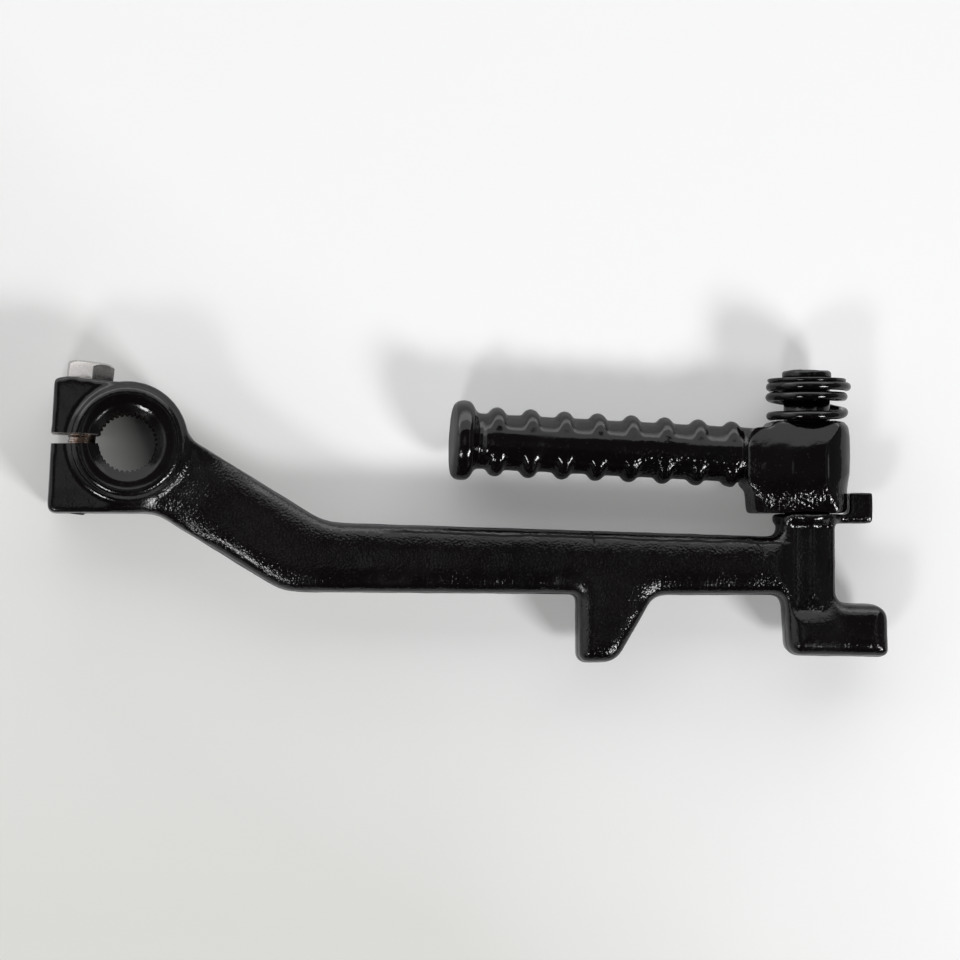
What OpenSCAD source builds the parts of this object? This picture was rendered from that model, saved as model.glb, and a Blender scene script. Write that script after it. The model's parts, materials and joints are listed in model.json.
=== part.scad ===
// Kick start lever for a small engine: a cast arm clamps on the splined kick shaft, and a
// ribbed pedal folds on a pin at its other end.
// The origin is the middle of the splined bore. +Z runs along the bore, +X along the arm to
// the pedal pivot, and +Y along the pivot pin. The casting's parting plane is z = 0.

/* [Splined boss] */
// Diameter inside the tips of the serrations
spline_d = 12.7; // [12:0.1:14]
// Depth of one serration
serration_depth = 0.45; // [0.3:0.05:0.6]
// Number of serrations round the bore
serration_count = 36; // [28:1:40]
// Diameter of the boss at the parting plane
boss_d = 27.6; // [27.2:0.2:32]
// Height of the boss over both raised rings
boss_h = 22; // [20:0.5:26]
// Diameter of the raised ring
ring_d = 24.8; // [23:0.2:25.4]
// Height of the raised ring above the clamp ears
ring_rise = 2; // [1.4:0.1:2.6]
// Diameter of the dished mouth of the bore
dish_d = 19.4; // [17:0.2:20.4]
// Depth of the dished mouth
dish_depth = 1.5; // [0.8:0.1:2]

/* [Clamp] */
// Distance from the bore to the open side of the ears
ear_reach = 17.2; // [16.8:0.1:20]
// Distance from the bore down to the underside of the lower ear
ear_low = 15.9; // [15.2:0.1:18]
// Distance from the bore up to the seat of the bolt head
ear_seat = 13; // [12.4:0.1:15]
// Width of the slit at the bore
slit_w = 2; // [1.5:0.1:3]
// Width of the slit at its mouth
slit_mouth_w = 2.7; // [1.5:0.1:3.4]
// Height of the slit's middle above the bore's axis
slit_rise = 1; // [0:0.1:1.5]
// Thread diameter of the pinch bolt
bolt_d = 6; // [5:0.5:6]
// Lean of the pinch bolt towards the arm, in degrees
bolt_lean = 7; // [0:0.5:9]
// Width of the bolt head across its flats
bolt_flats = 10; // [8:0.5:10]
// Height of the bolt head
bolt_head_h = 4; // [3.5:0.1:5]
// Turn of the bolt head's flats about the bolt, in degrees
head_turn = 36; // [0:1:59]

/* [Arm] */
// Distance along X from the bore to the pedal pivot
pivot_x = 155; // [140:1:180]
// Thickness of the arm
arm_h = 13; // [11:0.5:16]
// Distance along X from the bore to the crank in the arm
crank_x = 44.5; // [36:0.5:52]
// Distance from the bore down to the arm's upper edge at the crank
crank_drop = 17.7; // [14:0.1:20]
// Width of the arm at the crank
arm_w = 15.8; // [13:0.2:18]
// Width of the arm where it meets the column
arm_end_w = 13.4; // [12:0.1:15]
// Fall of the arm's upper edge from the crank to the column
arm_fall = 3.2; // [1.5:0.1:3.4]
// Radius of the casting's edges
edge_round = 1.8; // [1:0.1:2]
// Draft of the casting's sides, in degrees
draft = 4; // [1:0.5:5]

/* [Lug] */
// Distance along X from the lug's upright side to the pedal pivot
lug_back = 53.5; // [46:0.1:60]
// Length of the lug below the arm
lug_drop = 15.3; // [10:0.1:18]
// Width of the lug at its tip
lug_tip_w = 9; // [7.8:0.1:10]
// Slant of the lug's long side from upright, in degrees
lug_slant = 30; // [15:1:34]

/* [Column and foot] */
// Width of the column
column_w = 13.2; // [12.8:0.1:15]
// Distance from the arm's lower edge down to the foot's sole
foot_drop = 14.3; // [12:0.1:18]
// Distance the foot reaches past the pivot
foot_reach = 18.4; // [15.8:0.1:22]
// Height of the foot
foot_h = 12.2; // [10:0.1:13]
// Diameter of the collar that the pedal turns on
collar_d = 16; // [15.6:0.1:17]
// Height of the collar
collar_h = 2.1; // [1.5:0.1:3]
// Height of the stop tab above the collar's underside
tab_h = 7; // [4:0.1:8]
// Distance the stop tab reaches past the pivot
tab_reach = 14.7; // [13.5:0.1:17]
// Width of the stop tab
tab_w = 7; // [4:0.1:9]

/* [Pedal] */
// Diameter of the hub at its widest
hub_d = 19.8; // [19.2:0.1:22]
// Diameter of the hub at its lower end
hub_low_d = 18.4; // [17.6:0.1:18.8]
// Length of the hub along the pin
hub_len = 21; // [18:0.1:24]
// Thickness of the hub across its crowned faces
hub_h = 18.8; // [16:0.1:19]
// Length of the pedal from the pivot to its end face
pedal_len = 82; // [76:0.5:95]
// Slope of the peg above the arm's line, in degrees
peg_slope = 2.8; // [0:0.2:4]
// Height of the peg's axis above the hub's underside, at the pivot
peg_rise = 12.6; // [11:0.1:13]
// Diameter of the peg between its ribs at the free end
peg_d = 12.6; // [11:0.1:14]
// Diameter of the peg between its ribs at the hub
peg_root_d = 11.8; // [11:0.1:13]
// Number of ribs on the peg
rib_count = 8; // [5:1:8]
// Distance from one rib to the next
rib_pitch = 7.7; // [7:0.1:7.8]
// Distance from the last rib to the flange
rib_end_gap = 5; // [4:0.1:6]
// Height of a rib above the peg
rib_h = 1.65; // [1:0.05:2]
// Radius of a rib's rounded crest
rib_round = 2; // [1.7:0.1:2.4]
// Diameter of the flange at the peg's free end
flange_d = 18.2; // [17:0.1:22]
// Thickness of the flange
flange_w = 5.2; // [4.6:0.1:6.5]

/* [Pin and spring] */
// Diameter of the pin where the hub turns on it
pin_d = 10.6; // [10:0.1:11.4]
// Diameter of the pin's spigot in the column
spigot_d = 8; // [6:0.1:8.6]
// Length of the spigot
spigot_len = 22; // [14:0.5:26]
// Distance from the hub up to the retaining washer
spring_len = 9; // [8.6:0.1:12]
// Diameter of the retaining washer
washer_d = 18; // [16:0.1:19]
// Thickness of the retaining washer
washer_t = 0.8; // [0.6:0.1:1.4]
// Height of the pin's peened head
head_h = 2.1; // [1.6:0.1:3]
// Diameter of the pin's peened head
head_d = 11.4; // [11.2:0.1:12.4]
// Diameter of the spring's wire
wire_d = 2; // [1.6:0.1:2.1]
// Outer diameter of the spring
spring_d = 18.7; // [18:0.1:19.4]

/* [Hidden] */
$fn = 64;

// Clearances
run_gap = 0.05;
face_gap = 0.15;
swing_gap = 0.2;
bolt_gap = 0.15;
press_gap = 0.01;
thread_gap = 0.05;
seam_turn = 25;

// Boss and clamp
boss_r = boss_d / 2;
ring_r = ring_d / 2;
boss_top = boss_h / 2;
ear_top = boss_top - ring_rise;
tip_r = spline_d / 2;
root_r = tip_r + serration_depth;
bore_web = 0.15;
bolt_r = bolt_d / 2;
bolt_hole_r = bolt_r + bolt_gap;
bolt_off = root_r + bore_web + bolt_hole_r;
spot_depth = 0.3;
bolt_tip = -(ear_low + bolt_off * sin(bolt_lean)) / cos(bolt_lean);

// Heights along Y at the arm's pivot end
arm_up_y = -crank_drop - arm_fall;
arm_low_y = arm_up_y - arm_end_w;
sole_y = arm_low_y - foot_drop;
column_in = pivot_x - column_w / 2 - 0.4;
column_out = column_in + column_w;
collar_low_y = arm_up_y + 3.1;
collar_top_y = collar_low_y + collar_h;
hub_low_y = collar_top_y + face_gap;
hub_top_y = hub_low_y + hub_len;
washer_y = hub_top_y + spring_len;
pin_top_y = washer_y + washer_t;
hub_low_r = hub_low_d / 2;
tab_in = hub_low_r + swing_gap;
tab_top_y = collar_low_y + tab_h;
heel_reach = 13.8;
neck_drop = 1.5;
cheek_reach = 3.6;
lug_x = pivot_x - lug_back;

// Outlines with rounded corners. A corner is [x, y, radius], in anticlockwise order.

function heading(a, b) = atan2(b[1] - a[1], b[0] - a[0]);

// The angle from one heading to the next, between -180 and 180
function turn(from, to) = (to - from + 540) % 360 - 180;

// The arc that rounds corner i once the outline has shrunk by inset on every side.
// A left turn bulges out and its radius shrinks; a right turn is a fillet and grows.
function corner_arc(corners, i, inset) =
    let (
        n = len(corners),
        here = [corners[i][0], corners[i][1]],
        into = heading(corners[(i + n - 1) % n], corners[i]),
        out = heading(corners[i], corners[(i + 1) % n]),
        bend = turn(into, out),
        side = bend > 0 ? 1 : -1,
        radius = max(corners[i][2] - side * inset, 0.3),
        reach = 1 / cos(bend / 2),
        middle = into + bend / 2 + 90,
        centre = here + reach * (inset + side * radius) * [cos(middle), sin(middle)],
        steps = max(2, ceil(abs(bend) / 14))
    )
    [for (k = [0:steps])
        let (a = into - side * 90 + bend * k / steps)
        centre + radius * [cos(a), sin(a)]];

function rounded(corners, inset = 0) =
    [for (i = [0:len(corners) - 1]) each corner_arc(corners, i, inset)];

// Triangles that fill a flat outline, found by cutting off one ear after another

function area2(a, b, c) = (b[0] - a[0]) * (c[1] - a[1]) - (b[1] - a[1]) * (c[0] - a[0]);

function holds(a, b, c, p) = area2(a, b, p) >= 0 && area2(b, c, p) >= 0 && area2(c, a, p) >= 0;

function is_ear(pts, ids, k) =
    let (
        n = len(ids),
        before = ids[(k + n - 1) % n],
        after = ids[(k + 1) % n],
        a = pts[before],
        b = pts[ids[k]],
        c = pts[after],
        blockers = [for (j = ids)
            if (j != before && j != ids[k] && j != after && holds(a, b, c, pts[j])) j]
    )
    area2(a, b, c) > 0.000001 && len(blockers) == 0;

// The ear with the shortest cut, which keeps the triangles well shaped
function best_ear(pts, ids) =
    let (
        n = len(ids),
        ears = [for (k = [0:n - 1])
            if (is_ear(pts, ids, k)) [norm(pts[ids[(k + 1) % n]] - pts[ids[(k + n - 1) % n]]), k]],
        shortest = min([for (e = ears) e[0]])
    )
    [for (e = ears) if (e[0] == shortest) e[1]][0];

function ear_triangles(pts, ids) =
    len(ids) == 3 ? [ids] :
    let (
        n = len(ids),
        k = best_ear(pts, ids),
        rest = [for (j = [0:n - 1]) if (j != k) ids[j]]
    )
    concat([[ids[(k + n - 1) % n], ids[k], ids[(k + 1) % n]]], ear_triangles(pts, rest));

// Inset and height of each ring of a casting's side: draft to the parting plane and round edges
function side_profile(half, round, draft) =
    let (
        flat = half - round,
        lean = flat * tan(draft),
        upper = [for (a = [0:22.5:90]) [lean + round * (1 - cos(a)), flat + round * sin(a)]]
    )
    concat([for (k = [len(upper) - 1:-1:0]) [upper[k][0], -upper[k][1]]], [[0, 0]], upper);

// A casting with a rounded outline, drafted sides and round edges
module casting(corners, half, round, draft) {
    profile = side_profile(half, round, draft);
    n = len(rounded(corners));
    top = n * (len(profile) - 1);
    points = [for (p = profile) each [for (q = rounded(corners, p[0])) [q[0], q[1], p[1]]]];
    walls = [for (ring = [0:len(profile) - 2], k = [0:n - 1])
        let (a = ring * n + k, b = ring * n + (k + 1) % n)
        each [[a, b + n, b], [a, a + n, b + n]]];
    cap = ear_triangles(rounded(corners, profile[0][0]), [for (k = [0:n - 1]) k]);
    under = [for (t = cap) t];
    over = [for (t = cap) [t[2] + top, t[1] + top, t[0] + top]];
    polyhedron(points, concat(walls, under, over));
}

// Places things in the bolt's frame: Y along the bolt, with the bore's centre at height 0
module at_bolt() {
    rotate([0, 0, -bolt_lean]) translate([-bolt_off, 0, 0]) children();
}

// Turns a thing that is made along Z so that it runs along the pivot pin, from height y
module at_pivot(y) {
    translate([pivot_x, y, 0]) rotate([-90, 0, 0]) children();
}

module arm_casting() {
    boss_out = boss_r + 1.2;
    neck_slope = atan((crank_drop + 0.5) / (crank_x - boss_out));
    crank_low = crank_drop + arm_w;
    heel_x = crank_x - arm_w * tan(neck_slope / 2) - 5;
    neck_low = ear_low + 0.15;
    lug_low = arm_low_y - lug_drop;
    lug_run = lug_drop * tan(lug_slant);
    corners = [
        [-1, -ear_low + 0.2, 1],
        [heel_x - (crank_low - neck_low) / tan(neck_slope), -neck_low, 8],
        [heel_x, -crank_low, 14],
        [lug_x, arm_low_y + 0.2, 1.2],
        [lug_x + 0.1, lug_low, 2.2],
        [lug_x + lug_tip_w, lug_low, 5],
        [lug_x + lug_tip_w + lug_run, arm_low_y, 4.5],
        [column_in + 1, arm_low_y, 2.5],
        [column_in + 1.8, sole_y + 0.5, 3.2],
        [pivot_x + foot_reach, sole_y, 1.7],
        [pivot_x + foot_reach - 0.4, sole_y + foot_h, 3.6],
        [column_out, sole_y + foot_h + 0.4, 2.4],
        [column_out - 0.1, collar_top_y - 0.4, 0.6],
        [column_in, collar_top_y - 0.4, 0.6],
        [column_in, arm_up_y, 2],
        [crank_x, -crank_drop, 14],
        [boss_out, 0.5, 3],
        [boss_r - 3.4, 7.6, 1],
        [1, 7.6, 1]
    ];
    casting(corners, arm_h / 2, edge_round, draft);
}

module ear_casting() {
    top_y = (ear_seat + spot_depth + ear_reach * sin(bolt_lean)) / cos(bolt_lean);
    corners = [
        [-ear_reach - 0.7, -ear_low, 1.8],
        [5.6, -ear_low, 5],
        [9, -7, 2],
        [9, 7, 2],
        [0, top_y - ear_reach * tan(bolt_lean), 3],
        [-ear_reach + 5, top_y - 5 * tan(bolt_lean), 4],
        [-ear_reach + 0.9, top_y - 1.1, 1.2]
    ];
    casting(corners, ear_top, edge_round - 0.2, draft / 2);
}

// Half of the boss's section, from the parting plane up to the mouth of the bore
function boss_half() =
    let (
        fillet = 0.6,
        lip = 1,
        shoulder = 0.9,
        wall_r = ring_r + fillet
    )
    concat(
        [[boss_r, 0], [wall_r + shoulder * 0.6, ear_top - 1.6 * shoulder],
         [wall_r + shoulder * 0.35, ear_top - 0.7 * shoulder]],
        [for (a = [0:30:90]) [wall_r - fillet * sin(a), ear_top + fillet * (1 - cos(a))]],
        [for (a = [0:22.5:90]) [ring_r - lip * (1 - cos(a)), boss_top - lip * (1 - sin(a))]],
        [[dish_d / 2, boss_top], [tip_r, boss_top - dish_depth]]
    );

module boss() {
    half = boss_half();
    under = [for (k = [len(half) - 1:-1:1]) [half[k][0], -half[k][1]]];
    inner = tip_r - 2;
    top = boss_top - dish_depth;
    rotate_extrude() polygon(concat(under, half, [[inner, top], [inner, -top]]));
}

module collar_and_tab() {
    at_pivot(collar_low_y) cylinder(d = collar_d, h = collar_h);
    translate([pivot_x, collar_low_y - 0.1, -tab_w / 2]) {
        cube([tab_reach, collar_h - 0.1, tab_w]);
        translate([tab_in, 0, 0]) cube([tab_reach - tab_in, tab_h, tab_w]);
    }
}

module splined_bore() {
    over = boss_h + 2;
    star = [for (k = [0:2 * serration_count - 1])
        let (r = k % 2 == 0 ? root_r : tip_r - serration_depth, a = 180 * k / serration_count)
        r * [cos(a), sin(a)]];
    cylinder(r = tip_r, h = over, center = true);
    linear_extrude(over, center = true) polygon(star);
    for (side = [0, 1]) mirror([0, 0, side]) translate([0, 0, boss_top - dish_depth])
        cylinder(r1 = tip_r, r2 = dish_d / 2 + (dish_d / 2 - tip_r) * 0.5 / dish_depth,
                 h = dish_depth + 0.5);
}

module slit() {
    mouth_x = -ear_reach - 2;
    linear_extrude(boss_h + 2, center = true) polygon([
        [mouth_x, slit_rise - slit_mouth_w / 2],
        [-tip_r + 1, slit_rise - 0.3 - slit_w / 2],
        [-tip_r + 1, slit_rise - 0.3 + slit_w / 2],
        [mouth_x, slit_rise + slit_mouth_w / 2]
    ]);
}

// The holes are turned a little so that no seam of theirs lies in the parting plane
module bolt_holes() {
    at_bolt() rotate([-90, seam_turn, 0]) {
        translate([0, 0, -1]) cylinder(r = bolt_hole_r, h = ear_seat + 5);
        translate([0, 0, ear_seat]) cylinder(d = bolt_flats * 1.25, h = 6);
        translate([0, 0, bolt_tip - 4]) cylinder(r = bolt_r + thread_gap, h = 6 - bolt_tip);
    }
}

module lever_arm() {
    color([0.03, 0.03, 0.035]) difference() {
        union() {
            arm_casting();
            ear_casting();
            boss();
            collar_and_tab();
        }
        splined_bore();
        slit();
        bolt_holes();
        at_pivot(collar_top_y - spigot_len) rotate([0, 0, seam_turn])
            cylinder(d = spigot_d + 2 * press_gap, h = spigot_len + 5);
    }
}

module pinch_bolt() {
    crown = bolt_flats / 2 * 1.02;
    corner_r = bolt_flats / sqrt(3) + 0.2;
    color([0.75, 0.76, 0.78]) at_bolt() rotate([-90, 0, 0]) {
        translate([0, 0, bolt_tip + 0.6]) cylinder(r = bolt_r, h = ear_seat - bolt_tip + 0.4);
        translate([0, 0, bolt_tip]) cylinder(r1 = bolt_r - 0.6, r2 = bolt_r, h = 0.6);
        translate([0, 0, ear_seat]) intersection() {
            rotate([0, 0, head_turn]) cylinder(d = bolt_flats / cos(30), h = bolt_head_h, $fn = 6);
            rotate_extrude() polygon([
                [0, 0],
                [corner_r - 0.4, 0],
                [corner_r, 0.4],
                [corner_r, bolt_head_h - 1.1],
                [crown, bolt_head_h - 0.4],
                [crown - 1, bolt_head_h],
                [0, bolt_head_h]
            ]);
        }
    }
}

module pivot_pin() {
    tenon_r = pin_d / 2 - 1.4;
    head_r = head_d / 2;
    head = [for (a = [0:18:90]) [head_r - 0.9 * (1 - cos(a)), head_h - 1 + sin(a)]];
    stem = pin_top_y - collar_top_y;
    color([0.04, 0.04, 0.045]) at_pivot(collar_top_y) rotate_extrude() polygon(concat(
        [[0, -spigot_len + 0.5], [spigot_d / 2 - 0.6, -spigot_len + 0.5],
         [spigot_d / 2, -spigot_len + 1.1], [spigot_d / 2, 0], [pin_d / 2, 0],
         [pin_d / 2, stem - washer_t], [tenon_r, stem - washer_t], [tenon_r, stem],
         [head_r - 0.2, stem]],
        [for (p = head) [p[0], p[1] + stem]],
        [[0, stem + head_h]]
    ));
}

// Half of the peg's section along its axis, from inside the hub to the end face
function peg_half() =
    let (
        flange_r = flange_d / 2,
        rim = 2.1,
        first_rib = pedal_len - flange_w - rib_pitch * (rib_count - 1) - rib_end_gap,
        rib_span = rib_pitch * (rib_count - 1),
        core = function (s) (peg_root_d + (peg_d - peg_root_d) * (s - first_rib) / rib_span) / 2,
        inner = pedal_len - flange_w
    )
    concat(
        [[0, 4], [core(first_rib - rib_pitch), 4]],
        [for (k = [0:rib_count - 1])
            let (
                s = first_rib + k * rib_pitch,
                crest = core(s) + rib_h,
                spread = acos((rib_round - rib_h) / rib_round)
            )
            each [for (j = [-4:4])
                let (a = spread * j / 4)
                [crest - rib_round * (1 - cos(a)), s + rib_round * sin(a)]]],
        [[core(inner - 0.6), inner - 0.6], [core(inner) + 0.9, inner + 0.1]],
        [for (a = [-60:30:90]) [flange_r - rim * (1 - cos(a)), pedal_len - 0.5 - rim + rim * sin(a)]],
        [[flange_r - rim - 2, pedal_len - 0.1], [0, pedal_len]]
    );

// The pedal's flat cheeks as seen along the bore: neck, heel and the hub up to its round side.
// Low down they draw back, so that they pass the stop tab.
module pedal_side() {
    neck_up = hub_top_y - neck_drop;
    neck_low = hub_low_y + peg_rise * 0.6;
    polygon(rounded([
        [pivot_x - heel_reach - 1.1, neck_low, 0.8],
        [pivot_x - heel_reach, hub_low_y, 1.6],
        [pivot_x + 3, hub_low_y, 0.8],
        [pivot_x + 3.2, tab_top_y + 1, 2],
        [pivot_x + cheek_reach, hub_top_y - hub_len * 0.3, 6],
        [pivot_x + cheek_reach, hub_top_y, 0.8],
        [pivot_x - 8.2, hub_top_y, 0.9],
        [pivot_x - 9.6, neck_up, 1.4],
        [pivot_x - heel_reach + 0.3, neck_up, 2],
        [pivot_x - heel_reach - 1.2, neck_up - 5, 1]
    ]));
}

// The hub turned round the pin: barrel-shaped, narrower where it passes the stop tab
module hub_barrel() {
    hub_r = hub_d / 2;
    low = tab_h - collar_h + 0.6;
    at_pivot(hub_low_y) rotate_extrude() polygon([
        [0, 0],
        [hub_low_r - 0.8, 0],
        [hub_low_r, 0.9],
        [hub_low_r, low],
        [hub_r - 0.15, low + 3.4],
        [hub_r, hub_len * 0.62],
        [hub_r - 0.1, hub_len - 3.6],
        [hub_r - 0.4, hub_len - 1.2],
        [hub_r - 1.4, hub_len],
        [0, hub_len]
    ]);
}

// The space between the hub's crowned faces, as a section across the arm
module crowned_faces() {
    crown_r = 20;
    mid_y = hub_low_y + hub_len / 2;
    translate([pivot_x - 20, 0, 0]) rotate([90, 0, 90]) linear_extrude(40) intersection() {
        translate([mid_y, hub_h / 2 - crown_r]) circle(crown_r, $fn = 128);
        translate([mid_y, crown_r - hub_h / 2]) circle(crown_r, $fn = 128);
    }
}

module pedal() {
    peg_y = hub_low_y + peg_rise;
    color([0.03, 0.03, 0.035]) difference() {
        union() {
            intersection() {
                union() {
                    hub_barrel();
                    linear_extrude(hub_h + 1, center = true) pedal_side();
                }
                crowned_faces();
            }
            translate([pivot_x, peg_y, 0]) rotate([0, -90, -peg_slope]) rotate_extrude()
                polygon(peg_half());
        }
        at_pivot(hub_low_y - 1) cylinder(d = pin_d + 2 * run_gap, h = hub_len + 2);
    }
}

// The coil's height at a number of turns: closed at both ends, with one open turn
function coil_y(t) =
    let (
        low = hub_top_y + face_gap + wire_d / 2,
        high = washer_y - face_gap - wire_d / 2,
        closed = high - wire_d * 1.15
    )
    lookup(t, [
        [0, low], [0.25, low], [0.5, low + (closed - low) * 0.25],
        [1, closed], [1.5, closed], [2, high], [2.5, high]
    ]);

// The coil starts on the arm's side, passes the front first and rises behind the pin
module pedal_spring() {
    turns = 2.5;
    steps = 50;
    sides = 10;
    coil_r = (spring_d - wire_d) / 2;
    points = [for (k = [0:steps])
        let (
            t = turns * k / steps,
            a = 180 - 360 * t,
            y = coil_y(t)
        )
        each [for (j = [0:sides - 1])
            let (b = 360 * j / sides, r = coil_r + wire_d / 2 * cos(b))
            [pivot_x + r * cos(a), y + wire_d / 2 * sin(b), r * sin(a)]]];
    walls = [for (k = [0:steps - 1], j = [0:sides - 1])
        let (a = k * sides + j, b = k * sides + (j + 1) % sides)
        each [[a, b + sides, b], [a, a + sides, b + sides]]];
    start = [[for (j = [0:sides - 1]) j]];
    end = [[for (j = [sides - 1:-1:0]) steps * sides + j]];
    color([0.04, 0.04, 0.045]) polyhedron(points, concat(walls, start, end));
}

module retaining_washer() {
    hole_r = pin_d / 2 - 1.4 + run_gap;
    color([0.04, 0.04, 0.045]) at_pivot(washer_y) difference() {
        cylinder(d = washer_d, h = washer_t);
        translate([0, 0, -1]) cylinder(r = hole_r, h = washer_t + 2);
    }
}

lever_arm();
pinch_bolt();
pivot_pin();
pedal();
pedal_spring();
retaining_washer();
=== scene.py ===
import math

import bmesh
import bpy
import numpy as np
from mathutils import Matrix, Vector, kdtree, noise
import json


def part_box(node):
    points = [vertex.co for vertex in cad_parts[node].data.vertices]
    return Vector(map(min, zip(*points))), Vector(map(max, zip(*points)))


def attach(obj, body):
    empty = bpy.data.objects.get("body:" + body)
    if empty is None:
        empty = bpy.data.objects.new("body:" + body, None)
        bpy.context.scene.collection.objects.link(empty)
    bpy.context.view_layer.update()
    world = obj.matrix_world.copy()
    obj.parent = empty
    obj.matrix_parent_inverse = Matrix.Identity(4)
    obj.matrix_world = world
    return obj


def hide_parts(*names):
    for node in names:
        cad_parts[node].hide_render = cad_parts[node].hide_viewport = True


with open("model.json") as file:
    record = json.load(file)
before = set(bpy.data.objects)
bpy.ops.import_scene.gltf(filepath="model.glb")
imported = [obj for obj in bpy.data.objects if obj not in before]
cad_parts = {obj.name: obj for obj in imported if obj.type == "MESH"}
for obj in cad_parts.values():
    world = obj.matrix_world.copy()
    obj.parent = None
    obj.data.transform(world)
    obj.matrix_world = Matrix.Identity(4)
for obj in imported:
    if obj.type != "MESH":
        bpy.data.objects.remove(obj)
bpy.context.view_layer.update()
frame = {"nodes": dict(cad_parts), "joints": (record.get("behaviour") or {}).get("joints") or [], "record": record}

MM = 0.001

# Sizes that the solids have, measured on them where that is possible
PIVOT_X = frame["joints"][0]["pos_m"][0]
BORE_R = frame["record"]["mounts"][0]["dims"]["r_mm"] * MM
ARM_LO, ARM_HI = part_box("lever_arm")
PEDAL_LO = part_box("pedal")[0]
PIN_LO, PIN_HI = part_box("pivot_pin")
SPRING_LO, SPRING_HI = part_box("pedal_spring")
WASHER_LO, WASHER_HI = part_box("retaining_washer")
BOSS_R = 14 * MM
RING_R = 12.4 * MM
RING_TOP = ARM_HI.z
EAR_TOP = RING_TOP - 2 * MM
PIN_R = 5.3 * MM
HUB_LOW = PEDAL_LO.y
HUB_TOP = HUB_LOW + 21 * MM
PEG_Y = HUB_LOW + 12.6 * MM
PEG_SLOPE = math.radians(2.8)
PEG_LEN = 82 * MM
PEG_ROOT_R = 5.9 * MM
PEG_END_R = 6.3 * MM
FIRST_RIB = 17.9 * MM
RIB_HEIGHT = 1.68 * MM
FLANGE_W = 5.9 * MM
BOLT_LEAN = math.radians(7)
BOLT_OFF = 10.25 * MM
SLIT_RISE = 1 * MM
SLIT_W = 2 * MM
SLIT_MOUTH_W = 2.7 * MM
WIRE_R = 1 * MM
COIL_TURNS = 2.5
TOOTH_DEPTH = 0.45 * MM
TOOTH_COUNT = 36
# How far a filling block stays below the face that it fills
FLUSH = 0.02 * MM


# Meshes


def in_mm(points):
    return [tuple(v * MM for v in point) for point in points]


def add_object(name, mesh):
    obj = bpy.data.objects.new(name, mesh)
    bpy.context.scene.collection.objects.link(obj)
    return obj


def object_from(name, bm):
    mesh = bpy.data.meshes.new(name)
    bm.to_mesh(mesh)
    bm.free()
    return add_object(name, mesh)


def drop(obj):
    mesh = obj.data
    bpy.data.objects.remove(obj)
    bpy.data.meshes.remove(mesh)


def node_copy(node):
    """A merged copy of a solid, in a bmesh."""
    bm = bmesh.new()
    bm.from_mesh(frame["nodes"][node].data)
    bmesh.ops.remove_doubles(bm, verts=bm.verts, dist=0.5e-6)
    return bm


def lathe(bm, profile, place, steps=96):
    """Adds a profile of (radius, height) points, from the lower pole to the upper, turned round Z."""
    rings = []
    for radius, height in profile:
        if radius < 1e-7:
            rings.append([bm.verts.new(place @ Vector((0, 0, height)))])
            continue
        angles = [2 * math.pi * k / steps for k in range(steps)]
        circle = [Vector((radius * math.cos(a), radius * math.sin(a), height)) for a in angles]
        rings.append([bm.verts.new(place @ point) for point in circle])
    for low, high in zip(rings, rings[1:]):
        for k in range(steps):
            n = (k + 1) % steps
            corners = [low[k % len(low)], low[n % len(low)], high[n % len(high)], high[k % len(high)]]
            unique = list(dict.fromkeys(corners))
            if len(unique) > 2:
                bm.faces.new(unique)


def box(bm, low, high):
    """Adds a box between two corners."""
    made = bmesh.ops.create_cube(bm, size=1)["verts"]
    low, high = Vector(low), Vector(high)
    for v in made:
        v.co = Vector((v.co[k] + 0.5) * (high[k] - low[k]) + low[k] for k in range(3))


def along_pivot(y):
    """Carries a shape made round Z to the pivot pin, with its foot at height y."""
    return Matrix.Translation((PIVOT_X, y, 0)) @ Matrix.Rotation(-math.pi / 2, 4, "X")


def along_bolt():
    """Carries a shape made round Z to the pinch bolt, with the bore's centre level with its origin."""
    lean = Matrix.Rotation(-BOLT_LEAN, 4, "Z") @ Matrix.Translation((-BOLT_OFF, 0, 0))
    return lean @ Matrix.Rotation(-math.pi / 2, 4, "X")


def bake(obj):
    """Puts what an object's modifiers make into its mesh."""
    graph = bpy.context.evaluated_depsgraph_get()
    old = obj.data
    mesh = bpy.data.meshes.new_from_object(obj.evaluated_get(graph))
    obj.modifiers.clear()
    obj.data = mesh
    mesh.name = obj.name
    bpy.data.meshes.remove(old)
    return obj


def cast_over(obj, voxel, rounds):
    """Fuses overlapping shapes into one skin and softens its edges, as a casting's are."""
    skin = obj.modifiers.new("skin", "REMESH")
    skin.mode = "VOXEL"
    skin.voxel_size = voxel
    soften = obj.modifiers.new("soften", "SMOOTH")
    soften.factor = 0.5
    soften.iterations = rounds
    bake(obj)


def cut(obj, cutter, operation="DIFFERENCE"):
    """Cuts a shape with another one, whose material the new walls take."""
    tool = obj.modifiers.new("cut", "BOOLEAN")
    tool.operation = operation
    tool.solver = "EXACT"
    tool.material_mode = "TRANSFER"
    tool.object = cutter
    bake(obj)
    drop(cutter)
    return obj


def read_vectors(source, field):
    flat = np.zeros(len(source) * 3, np.float32)
    source.foreach_get(field, flat)
    return flat.reshape(-1, 3).astype(float)


def coordinates(mesh):
    return read_vectors(mesh.vertices, "co")


def normals(mesh):
    return read_vectors(mesh.vertex_normals, "vector")


def set_coordinates(mesh, co):
    mesh.vertices.foreach_set("co", co.astype(np.float32).ravel())
    mesh.update()


def roughen(obj, size, depth, seed=0.0, share=None):
    """Moves each point along its normal by a smooth noise, as wide and as deep as given.
    The share, where there is one, gives from 0 to 1 how much of it each point gets."""
    mesh = obj.data
    co = coordinates(mesh)
    normal = normals(mesh)
    shift = Vector((seed, 2 * seed, -seed))
    heights = np.array([noise.noise(Vector(p) / size + shift) for p in co])
    if share is not None:
        heights *= share
    set_coordinates(mesh, co + normal * heights[:, None] * depth)


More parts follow.
